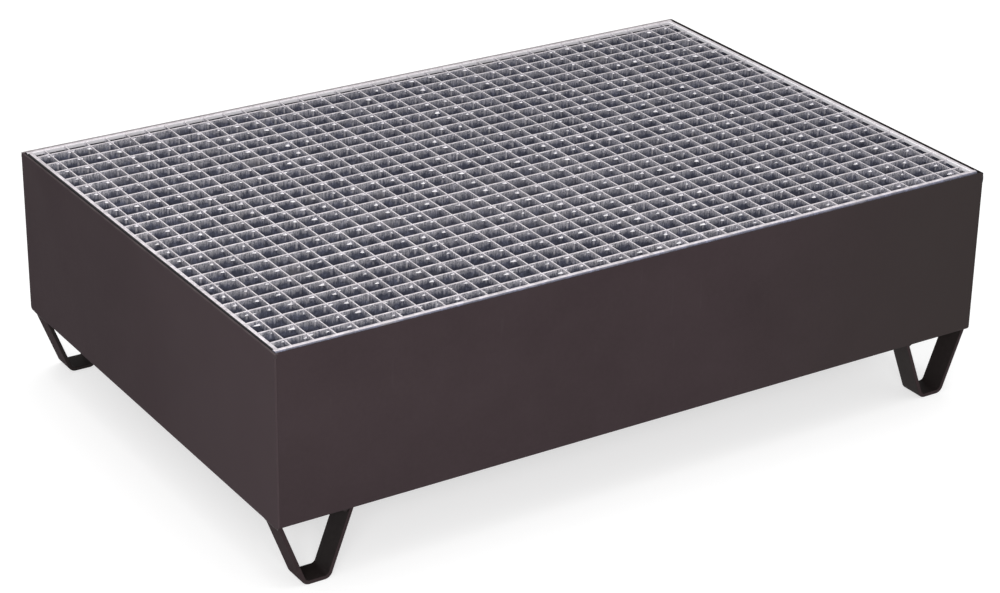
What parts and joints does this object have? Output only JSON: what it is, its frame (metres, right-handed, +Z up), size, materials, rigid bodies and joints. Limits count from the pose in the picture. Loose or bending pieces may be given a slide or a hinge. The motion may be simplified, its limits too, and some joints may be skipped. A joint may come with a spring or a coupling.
{
  "type": "spill containment pallet",
  "caption": "Low painted steel sump pan on bent strap feet, with a loose galvanised grating deck inside its rim for standing drums on.",
  "frame": {"origin": "centre of the footprint, on the plane the feet stand on", "axes": "+X along the long side, +Y along the short side, +Z up"},
  "size_m": [1.2, 0.8, 0.362],
  "materials": {
    "dark_grey_paint": "satin, slightly warm dark grey powder coat",
    "galvanised_steel": "hot-dip galvanised, satin with drips and streaks"
  },
  "bodies": {
    "pan": {"pan_trough": "dark_grey_paint", "left_end_plate": "dark_grey_paint", "right_end_plate": "dark_grey_paint", "foot_front_left": "dark_grey_paint", "foot_front_right": "dark_grey_paint", "foot_back_left": "dark_grey_paint", "foot_back_right": "dark_grey_paint", "front_support_ledge": "dark_grey_paint", "back_support_ledge": "dark_grey_paint", "left_support_ledge": "dark_grey_paint", "right_support_ledge": "dark_grey_paint", "center_support_beam": "dark_grey_paint", "front_beam_bracket": "dark_grey_paint", "back_beam_bracket": "dark_grey_paint"},
    "grating": {"bearing_bar_01": "galvanised_steel", "bearing_bar_02": "galvanised_steel", "bearing_bar_03": "galvanised_steel", "bearing_bar_04": "galvanised_steel", "bearing_bar_05": "galvanised_steel", "bearing_bar_06": "galvanised_steel", "bearing_bar_07": "galvanised_steel", "bearing_bar_08": "galvanised_steel", "bearing_bar_09": "galvanised_steel", "bearing_bar_10": "galvanised_steel", "bearing_bar_11": "galvanised_steel", "bearing_bar_12": "galvanised_steel", "bearing_bar_13": "galvanised_steel", "bearing_bar_14": "galvanised_steel", "bearing_bar_15": "galvanised_steel", "bearing_bar_16": "galvanised_steel", "bearing_bar_17": "galvanised_steel", "bearing_bar_18": "galvanised_steel", "bearing_bar_19": "galvanised_steel", "bearing_bar_20": "galvanised_steel", "bearing_bar_21": "galvanised_steel", "bearing_bar_22": "galvanised_steel", "bearing_bar_23": "galvanised_steel", "cross_bars_and_long_bands": "galvanised_steel", "left_end_band": "galvanised_steel", "right_end_band": "galvanised_steel"}
  },
  "joints": [
    {"name": "grating_lift", "type": "slide", "parent": "pan", "child": "grating", "axis": [0, 0, 1], "range_m": [0, 0.3]}
  ]
}
